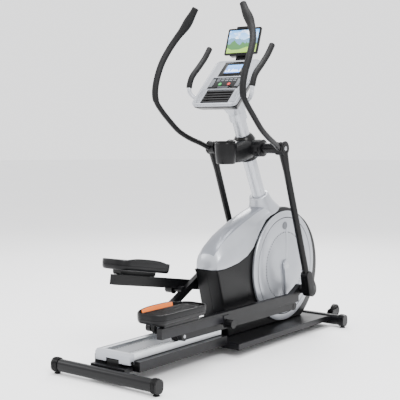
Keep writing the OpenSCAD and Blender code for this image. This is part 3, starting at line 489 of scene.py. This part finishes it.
for y, ridge, shoulder, hem, wide in shroud["stations"]:
    right = [(x * wide, y, ridge - (ridge - shoulder) * share) for x, share in shroud["top"]]
    right += [(x * wide, y, shoulder - (shoulder - hem) * share) for share, x in shroud["flank"]]
    rings.append(right + [(-x, a, z) for x, a, z in right[:0:-1]])
loft(saddle, rings)
# faces near the crown take the darker grey: painted shade of a let-in panel on a flat surface
for index, corners in enumerate(saddle["faces"][:-2]):
    across = sum((saddle["points"][i].x for i in corners), 0.0) / len(corners) / mm
    if abs(across) < shroud["panelHalf"] and index // len(rings[0]) > 0:
        saddle["finishes"][index] = 1
makePiece("nose_saddle", saddle, "frame", [paintedSilver, greyPaintAndRecessShade], ["nose_shroud"],
          sharp=34)

# Collar: a flared boot where the upright leaves the housing
axleY, axleZ = hingeAt("right_swing")
boot = {"lean": radians(25.3), "sides": 72,
        "profile": [(-384, 92), (-372, 85), (-356, 76), (-336, 67), (-314, 60), (-297, 56), (-290, 54.5),
                    (-286, 53), (-284, 50), (-284, 40), (-300, 38.2), (-384, 38.2)]}
mast = machine @ Matrix.Translation((0, axleY, axleZ)) @ Matrix.Rotation(boot["lean"], 4, "X")
collar = newDraft()
turned(collar, boot["profile"], mast @ xUp, count=boot["sides"])
makePiece("collar_boot", collar, "frame", [paintedSilver], ["upright_collar"])
print("housing made")

# Crank discs: a dished silver face, a thin joint groove and a ring of dimples coloured with shadow-gap black
# as painted shade, a raised sweep and a plain badge
disc = {"inner": 77, "outer": 95.5, "radius": 301, "bore": 20, "joint": 268, "jointHalf": 2, "jointDepth": 4,
        "sides": 160, "dimples": 72, "dimpleRing": 186, "dimpleSides": 12,
        "dimple": [(0, 3.4), (0.7, 3.4), (0.9, 2.6)],
        "dish": [(-0.8, 240), (-3, 205), (-4.2, 196), (-4.2, 176), (-3, 168), (-1.4, 120), (-1, 60)],
        "sweepLength": 236, "sweepSteps": 20, "sweepTaper": 40, "badgeAt": (-1.2, -8, 224), "badgeSides": 40,
        "badge": [(0, 22), (1.6, 22), (2.0, 21), (2.0, 18), (1.4, 17.4), (1.4, 0.5)]}
discs = newDraft()
for sign in (1, -1):
    hub = Matrix.Translation((0, crankY, crankZ))
    place = machine @ hub if sign > 0 else machine @ mirrored @ hub
    x1, far, joint = disc["outer"], disc["radius"], disc["joint"]
    outerSeam, innerSeam = joint + disc["jointHalf"], joint - disc["jointHalf"]
    floorX = x1 - disc["jointDepth"]
    turned(discs, [(disc["inner"], disc["bore"]), (disc["inner"], far), (x1 - 9, far + 3),
                   (x1 - 6, far + 3.5), (x1 - 3, far + 1), (x1 - 1.2, far - 6), (x1 - 0.6, far - 14),
                   (x1 - 0.8, joint + 4),
                   (x1 - 1.0, joint + 2.4), (floorX, outerSeam)], place, 0, disc["sides"], (True, False))
    # the floor of the joint groove takes painted shade: matt black for its unlit depth
    turned(discs, [(floorX, outerSeam), (floorX, innerSeam)], place, 1, disc["sides"], (False, False))
    turned(discs, [(floorX, innerSeam), (x1 - 1.0, joint - 2.4), (x1 - 0.6, joint - 5)]
           + [(x1 + x, r) for x, r in disc["dish"]] + [(x1 - 1, disc["bore"])], place, 0, disc["sides"],
           (False, True))
    # the dimples take the same painted shade black, standing in for the shade inside them
    for k in range(disc["dimples"]):
        a = 2 * pi * k / disc["dimples"]
        spot = Matrix.Translation((x1 - 4.3, disc["dimpleRing"] * cos(a), disc["dimpleRing"] * sin(a)))
        turned(discs, disc["dimple"], place @ spot, 1, disc["dimpleSides"])
    rings = []
    for k in range(2 * disc["sweepSteps"] + 1):    # the raised sweep runs across the face through the hub
        t = -1 + k / disc["sweepSteps"]
        y = 30 * sin(t * pi / 2) - 26 * t * t
        z = disc["sweepLength"] * t
        wide = 3.0 + 15 * (1 - t * t)
        crown = 1.6 * min(1, (disc["sweepLength"] - abs(z)) / disc["sweepTaper"])
        rings.append([(x1 - 4.4, y - wide, z), (x1 - 1.4 + crown * 0.5, y - wide * 0.7, z),
                      (x1 - 0.6 + crown, y, z), (x1 - 1.4 + crown * 0.5, y + wide * 0.7, z),
                      (x1 - 4.4, y + wide, z)])
    loft(discs, rings, place)
    badgeX, badgeY, badgeZ = disc["badgeAt"]
    turned(discs, disc["badge"], place @ Matrix.Translation((x1 + badgeX, badgeY, badgeZ)), 2,
           disc["badgeSides"])
makePiece("crank_faces", discs, "crank", [paintedSilver, paintedShadeBlack, mouldedGrey],
          ["crank_discs"], sharp=30)
print("crank discs made")


# Swing handles: bent tube with a foam sleeve that swells where the hand rests
handle = {"route": [(228, -34, 14), (238, -75, 55), (252, -140, 112), (262, -200, 178), (268, -250, 262),
                    (270, -288, 335), (270, -304, 386), (270, -291, 436), (270, -250, 492), (268, -190, 548),
                    (256, -125, 597), (232, -72, 640), (198, -28, 682), (165, 0, 727), (142, 22, 762)],
          "tube": 14, "tubeSides": 28, "foamFrom": 6, "foamSides": 36, "foamNose": 6, "steps": 8,
          "foam": 16.5, "swell": 7, "swellAt": 0.80, "swellWidth": 0.10, "screwX": 247.5, "screw": (11, 4)}


def legFrame(side, sign):                          # Z along the leg, from the handle axle
    leg = nodes[side + "_swing_leg"].data.vertices
    tips = sorted(((v.co.y - rearY) / mm - axleY, v.co.z / mm - axleZ) for v in leg)
    y, z = max(tips, key=lambda p: p[0] ** 2 + p[1] ** 2)
    place = machine @ Matrix.Translation((0, axleY, axleZ)) @ Matrix.Rotation(atan2(y, -z), 4, "X")
    return place if sign > 0 else mirrored @ place


def foamRadius(t):
    offset = (t - handle["swellAt"]) / handle["swellWidth"]
    return handle["foam"] + handle["swell"] * exp(-offset ** 2) + t


curve = smoothRoute(handle["route"], handle["steps"])
sleeve = curve[handle["foamFrom"] * handle["steps"]:]
for side, sign in sides:
    place = legFrame(side, sign)
    body = side + "_handle"
    bar = newDraft()
    tube(bar, curve, [handle["tube"]] * len(curve), place, handle["tubeSides"])
    makePiece(side + "_handle_tube", bar, body, [powderBlack], [side + "_swing_handle"])
    foam = newDraft()
    closedTube(foam, sleeve, [foamRadius(k / (len(sleeve) - 1)) for k in range(len(sleeve))], place,
               handle["foamSides"], handle["foamNose"])
    piece = makePiece(side + "_handle_sleeve", foam, body, [closedFoam], [side + "_foam_grip"],
                      sharp=60)
    screw = newDraft()
    dome(screw, *handle["screw"], place @ Matrix.Translation((handle["screwX"], 0, 0)))
    makePiece(side + "_hub_screw", screw, body, [turnedSteel])
print("handles made")

# Fixed handlebar: silver tube through the console neck, foam from the bend upwards
fixedBar = {"route": [(60, 978, 1290), (64, 978, 1290), (84, 970, 1288), (130, 934, 1285), (172, 893, 1298),
                      (194, 872, 1322), (200, 868, 1356), (200, 892, 1411), (200, 953, 1467),
                      (200, 1005, 1517), (200, 1045, 1567)],
            "centre": (0, 978, 1290), "tube": 11, "tubeSides": 28, "foam": 15.5, "foamFrom": 6,
            "foamSides": 32, "foamNose": 5, "steps": 6}
curve = smoothRoute(fixedBar["route"], fixedBar["steps"])
sleeve = curve[fixedBar["foamFrom"] * fixedBar["steps"]:]
bothArms = [Vector((-p.x, p.y, p.z)) for p in curve[::-1]] + [Vector(fixedBar["centre"])] + curve
bar = newDraft()
tube(bar, bothArms, [fixedBar["tube"]] * len(bothArms), count=fixedBar["tubeSides"])
grips = newDraft()
for place in (machine, machine @ mirrored):
    closedTube(grips, sleeve, [fixedBar["foam"]] * len(sleeve), place, fixedBar["foamSides"],
               fixedBar["foamNose"])
makePiece("fixed_bar_tube", bar, "frame", [lacquerSilver], ["fixed_handlebar"])
piece = makePiece("fixed_bar_sleeves", grips, "frame", [closedFoam], ["fixed_grips"], sharp=60)
print("fixed bar made")


# Pedals: a moulded tub with a rubber tread, a bracket below and an orange flash on the inner side.
# Levels are (height, inset) from the bottom up.
pedal = {"width": 164, "length": 380, "corner": 56, "middle": 130, "ribs": 12, "rib": 3.4, "crossRibs": 3,
         "tub": [(-32, 14), (-31, 9), (-27, 4.5), (-20, 2), (-11, 0.4), (-10, 1.6), (-8, 1.6), (-7, 0),
                 (10, 0), (14, 0.8), (16, 3), (16, 6), (14.5, 8), (6, 9), (0.4, 9.2)],
         "bracket": [(-55, 9), (-53, 5), (-46, 2), (-20, 0)], "bracketAt": (21, 15, 0),
         "bracketSize": (58, 268, 10), "tread": [(0.6, 0), (5, 0), (6, 1)], "treadInset": 19.6,
         "ribLevels": [(5, 0), (8.2, 0), (8.9, 0.8)], "crossLevels": [(5, 0), (8, 0), (8.7, 0.8)],
         "rimMiddle": -14, "rimHalf": 148, "rimSteps": 16, "rimLow": 16, "rimRise": 13,
         "screwAt": (52, 112, 8.4), "screw": (6.5, 2.6)}


def padFrame(side, sign):                          # origin in the middle of the tread's underside
    spots = [((v.co.y - rearY) / mm, v.co.z / mm) for v in nodes[side + "_pedal_pad"].data.vertices]
    y0 = sum(y for y, z in spots) / len(spots)
    z0 = sum(z for y, z in spots) / len(spots)
    yy = sum((y - y0) ** 2 for y, z in spots)
    zz = sum((z - z0) ** 2 for y, z in spots)
    yz = sum((y - y0) * (z - z0) for y, z in spots)
    tilt = 0.5 * atan2(2 * yz, yy - zz)
    along = [y * cos(tilt) + z * sin(tilt) for y, z in spots]
    up = [z * cos(tilt) - y * sin(tilt) for y, z in spots]
    a, b = (min(along) + max(along)) / 2, min(up)
    origin = (pedal["middle"], a * cos(tilt) - b * sin(tilt), a * sin(tilt) + b * cos(tilt))
    place = machine @ Matrix.Translation(origin) @ Matrix.Rotation(tilt, 4, "X")
    return place if sign > 0 else mirrored @ place


for side, sign in sides:
    place = padFrame(side, sign)
    body = side + "_pedal"
    width, length, corner = pedal["width"], pedal["length"], pedal["corner"]
    tub = newDraft()
    slab(tub, width, length, corner, pedal["tub"], place, corner=10)
    slab(tub, *pedal["bracketSize"], pedal["bracket"], place @ Matrix.Translation(pedal["bracketAt"]))
    makePiece(side + "_pedal_tub", tub, body, [mouldedBlack], [side + "_pedal_tray"],
              sharp=32)
    rim = newDraft()                               # raised wall on the inner side, with orange inside it
    flash = newDraft()
    wall, front = [], []
    for k in range(2 * pedal["rimSteps"] + 1):
        t = -1 + k / pedal["rimSteps"]
        y = pedal["rimMiddle"] + pedal["rimHalf"] * t
        past = max(0.0, abs(y) - (length / 2 - corner))
        x = -width / 2 + corner - sqrt(corner ** 2 - past ** 2) + 1
        top = pedal["rimLow"] + pedal["rimRise"] * (1 - abs(t) ** 3)
        wall.append([(x, y, 2), (x + 1, y, top - 2), (x + 2.4, y, top), (x + 6, y, top),
                     (x + 8, y, top - 1.6), (x + 9.4, y, 2)])
        front.append([(x + 6.6, y, 4), (x + 6, y, top - 1.6), (x + 8.7, y, top - 2.2), (x + 12.4, y, 7),
                      (x + 12.6, y, 4)])
    loft(rim, wall, place)
    loft(flash, front[3:-5], place)
    makePiece(side + "_pedal_rim", rim, body, [mouldedBlack], sharp=32)
    makePiece(side + "_pedal_flash", flash, body, [mouldedOrange], sharp=32)
    tread = newDraft()
    inset = pedal["treadInset"]
    slab(tread, width - inset, length - inset, corner - 10, pedal["tread"], place)
    for k in range(pedal["ribs"]):
        x = -width / 2 + 34 + k * (width - 58) / (pedal["ribs"] - 1)
        slab(tread, pedal["rib"], length - 88, 1.6, pedal["ribLevels"],
             place @ Matrix.Translation((x - 2, 0, 0)), corner=3)
    for end in (-1, 1):
        for k in range(pedal["crossRibs"]):
            y = end * (length / 2 - 30) + (6 + 7 * k) * end - 4 * end
            slab(tread, 70 - 16 * k, pedal["rib"], 1.5, pedal["crossLevels"],
                 place @ Matrix.Translation((0, y, 0)), corner=3)
    makePiece(side + "_pedal_tread", tread, body, [mouldedRubber], [side + "_pedal_pad"], sharp=32)
    screws = newDraft()
    screwX, screwY, screwZ = pedal["screwAt"]
    for y in (-screwY, screwY):
        dome(screws, *pedal["screw"], place @ Matrix.Translation((screwX, y, screwZ)) @ xUp)
    makePiece(side + "_pedal_screws", screws, body, [powderBlack])
print("pedals made")


# Console: silver back shell, bezel, bright strips, small keys and a backlit display.
# On the face, v runs up from its lower edge. A strip is (v, depth, width), a panel (v, v, half width).
console = {"width": 280, "length": 335, "corner": 26, "slope": radians(45), "y": 800, "z": 1262,
           "back": [(-72, 44), (-71, 38), (-66, 31), (-52, 20), (-34, 8), (-24, 1.5), (-20, 0), (-17, 0),
                    (-16, 1.4)],
           "front": [(-17, 4), (-15.6, 1.2), (-15, 0.4), (-6, 0), (-5.4, 1), (-4.6, 1), (-4, 0), (-1.4, 0),
                     (-0.3, 0.9), (0, 2.4), (-0.2, 4.0), (-1.6, 9), (-1.8, 16)],
           "strips": ((203, 5, 190), (113, 3, 176), (3, 7, 236)), "speakerX": 112, "speakerRibs": 13,
           "panels": ((118, 200, 98), (212, 322, 78)), "slats": 5, "slatPitch": 18.5,
           "slatLean": radians(-12),
           "bezel": ((-1, 12), (1.6, 12), (2.4, 10.6), (2.2, 3), (0.4, 0.2), (-3, 0.2)),
           "screenV": 236.2, "screenW": 96, "screenH": 62, "screenCorner": 3, "keyRows": 2, "keyColumns": 5}
faceFoot = machine @ Matrix.Translation((0, console["y"], console["z"]))
face = faceFoot @ Matrix.Rotation(console["slope"], 4, "X")
centre = face @ Matrix.Translation((0, console["length"] / 2, 0))
screen = face @ Matrix.Translation((0, console["screenV"] + console["screenH"] / 2, 0))
shell = newDraft()
slab(shell, console["width"], console["length"], console["corner"], console["back"], centre, 1, corner=10)
slab(shell, console["width"], console["length"], console["corner"], console["front"], centre, corner=10)
makePiece("console_back", shell, "frame", [paintedSilver, mouldedBlack], ["console_shell"],
          sharp=32)
trims = newDraft()
for v, thick, wide in console["strips"]:
    block(trims, (-wide / 2, v, -1.5), (wide / 2, v + thick, 1.6), face, edge=0.9)
for x in (console["speakerX"], -console["speakerX"]):   # speaker ribs in the silver side panels
    for k in range(console["speakerRibs"]):
        block(trims, (x - 13, 22 + 8 * k, -2.4), (x + 13, 26 + 8 * k, 1.6), face, edge=0.9)
makePiece("console_strips", trims, "frame", [lacquerSilver], sharp=32)
panels = newDraft()
for v0, v1, half in console["panels"]:
    block(panels, (-half, v0, -3), (half, v1, -0.4), face, edge=1.0)
block(panels, (-88, 14, -4), (88, 110, -1.6), face, edge=1.0)
for k in range(console["slats"]):                  # slats of the tray, each leaning down the face
    slat = face @ Matrix.Translation((0, 22 + console["slatPitch"] * k, 0.4))
    block(panels, (-84, -5, -1.8), (84, 8, 0.9), slat @ Matrix.Rotation(console["slatLean"], 4, "X"))
makePiece("console_panels", panels, "frame", [polishedBlack], ["console_face"], sharp=32)
bezel = newDraft()
rings = [roundedRect(console["screenW"] + 2 * grow, console["screenH"] + 2 * grow,
                     console["screenCorner"] + grow, height, 5) for height, grow in console["bezel"]]
loft(bezel, rings, screen, 0, (False, False))
makePiece("display_bezel", bezel, "frame", [polishedBlack], sharp=32)
keys = newDraft()
for row in range(console["keyRows"]):
    for column in range(console["keyColumns"]):
        x, v = -52 + 26 * column, 176 + 13 * row
        block(keys, (x - 9, v - 4, -1), (x + 9, v + 4, 1.6), face, edge=0.9)
for v in (132, 124):                               # two thin bars below the keys
    block(keys, (-34, v - 2, -1), (34, v + 1, 0.9), face, edge=0.6)
makePiece("console_keys", keys, "frame", [mouldedGrey], sharp=32)


def picturePlate(name, width, length, corner, low, high, place, body, material, replaces=()):
    draft = newDraft()
    levels = [roundedRect(width, length, corner, height, 5) for height in (low, high)]
    loft(draft, levels, place)
    draft["flat"] = [(x / width + 0.5, y / length + 0.5) for ring in levels for x, y, z in ring]
    return makePiece(name, draft, body, [material], replaces, sharp=32)


picturePlate("display_glass", console["screenW"], console["screenH"], console["screenCorner"], -1, 0.3,
             screen, "frame", displayGlass, ["console_screen"])

# Tablet: a lit picture on the front of the CAD tablet
tablet = {"y": 1046, "z": 1528, "slope": radians(72), "width": 210, "height": 150, "margin": 11, "corner": 2}
tabletFoot = machine @ Matrix.Translation((0, tablet["y"], tablet["z"]))
glass = tabletFoot @ Matrix.Rotation(tablet["slope"], 4, "X") @ (
    Matrix.Translation((0, tablet["height"] / 2, 0)))
picturePlate("tablet_picture", tablet["width"] - 2 * tablet["margin"],
             tablet["height"] - 2 * tablet["margin"], tablet["corner"], -0.4, 0.3, glass, "tablet",
             pictureGlass)
print("console made")

# Pivot cover: a barrel round the handle axle, a boot round the upright, a ring that holds the cup,
# and a body that joins them. A body ring is (distance ahead of the cup, half width, low, high).
pivot = {"barrel": [(-114, 24), (-113.4, 41), (-110, 45.4), (-104, 46), (-102, 44.6), (-98, 44.6), (-96, 46),
                    (-60, 48), (0, 52), (60, 48), (96, 46), (98, 44.6), (102, 44.6), (104, 46), (110, 45.4),
                    (113.4, 41), (114, 24)],
         "boot": [(-64, 44), (-60, 52), (-40, 60), (10, 64), (44, 60), (64, 52), (74, 45), (78, 41),
                  (78, 38)],
         "ring": [(6, 36), (8, 46), (14, 50), (60, 55), (104, 58), (112, 58.6), (116, 57.6), (117, 55),
                  (115, 52.5), (104, 51), (60, 48.4)],
         "body": ((20, 40, 968, 1044), (60, 50, 960, 1062), (100, 58, 962, 1076), (140, 66, 972, 1084),
                  (180, 70, 984, 1090), (206, 60, 996, 1078)),
         "barrelSides": 80, "sides": 72, "roundness": 0.38, "cupBehind": 186, "cupZ": 950}
cover = newDraft()
turned(cover, pivot["barrel"], machine @ Matrix.Translation((0, axleY, axleZ)), count=pivot["barrelSides"])
turned(cover, pivot["boot"], mast @ xUp, count=pivot["sides"])
cupY = axleY - pivot["cupBehind"]
turned(cover, pivot["ring"], machine @ Matrix.Translation((0, cupY, pivot["cupZ"])) @ xUp,
       count=pivot["sides"], ends=(True, False))
rings = []
for y, half, low, high in pivot["body"]:
    section = roundedRect(2 * half, high - low, (high - low) * pivot["roundness"])
    rings.append([(p[0], cupY + y, (low + high) / 2 + p[1]) for p in section])
loft(cover, rings)
makePiece("pivot_shroud", cover, "frame", [mouldedBlack], ["pivot_cover"], sharp=40)

# Bottle cup: tapered, with a rolled lip
cupShape = {"profile": [(0, 39), (1, 41.5), (4, 42.2), (60, 46), (108, 49.2), (114, 49.9), (117, 49.7),
                        (118, 48.6), (117, 47.2), (112, 46.4), (60, 42.6), (6, 39), (3.4, 36), (3.2, 0.5)],
            "sides": 72}
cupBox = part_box("bottle_cup")
cupFoot = Matrix.Translation((0, (cupBox[0].y + cupBox[1].y) / 2, cupBox[0].z)) @ Matrix.Scale(mm, 4)
cup = newDraft()
turned(cup, cupShape["profile"], cupFoot @ xUp, count=cupShape["sides"])
makePiece("cup_liner", cup, "frame", [mouldedBlack], ["bottle_cup"])

# Ramp trims: two joint lines, with a row of drilled dots beside each, in painted shade: matt black for the
# unlit depth of the joints and holes
ramp = {"lineX": 58, "lineHalf": 2, "endGap": 6, "dots": 34, "dotX": 0.82, "dotMargin": 20, "dotSides": 10,
        "dot": [(0, 3.4), (0.5, 3.4), (0.6, 2.6)]}
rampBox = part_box("ramp_cover")
rampTop = rampBox[1].z / mm
rampStart, rampEnd = ((b.y - rearY) / mm for b in rampBox)
lines = newDraft()
for x in (-ramp["lineX"], ramp["lineX"]):
    block(lines, (x - ramp["lineHalf"], rampStart + ramp["endGap"], rampTop - 0.5),
          (x + ramp["lineHalf"], rampEnd - ramp["endGap"], rampTop + 0.35), edge=0.15)
    for k in range(ramp["dots"]):
        y = rampStart + ramp["dotMargin"] + k * (rampEnd - rampStart - 2 * ramp["dotMargin"]) / (
            ramp["dots"] - 1)
        turned(lines, ramp["dot"], machine @ Matrix.Translation((x * ramp["dotX"], y, rampTop)) @ xUp, 0,
               ramp["dotSides"])
makePiece("ramp_painted_shade_lines", lines, "ramp", [paintedShadeBlack])
print("trims made")

# CAD nodes whose shape is right keep their mesh, and take a finish and softened edges
edgeWidth = {"stabilizers": 1.2, "stabilizer_caps": 1.6, "right_leg_cover": 4.0, "left_leg_cover": 4.0,
             "console_neck": 2.0, "right_swing_leg": 1.6, "left_swing_leg": 1.6, "rear_base_frame": 2.0,
             "front_base_frame": 3.0, "ramp_cover": 1.5, "ramp_end_cap": 2.0, "ramp_rails": 0.5,
             "drive_belt": 0.4}
usualEdge = 0.9
ownFinish = {"console_neck": lacquerSilver, "crank_arms": paintedSilver}
slots = {part["node"]: part["material_slot"] for part in frame["record"]["subparts"]}
for name, node in nodes.items():
    if node.hide_render:
        continue
    node.data.materials.clear()
    node.data.materials.append(ownFinish.get(name) or slotFinish[slots[name]])
    if "custom_normal" in node.data.attributes:
        node.data.attributes.remove(node.data.attributes["custom_normal"])
    node.data.polygons.foreach_set("use_smooth", [True] * len(node.data.polygons))
    soften(node, edgeWidth.get(name, usualEdge))
print("frame nodes finished")
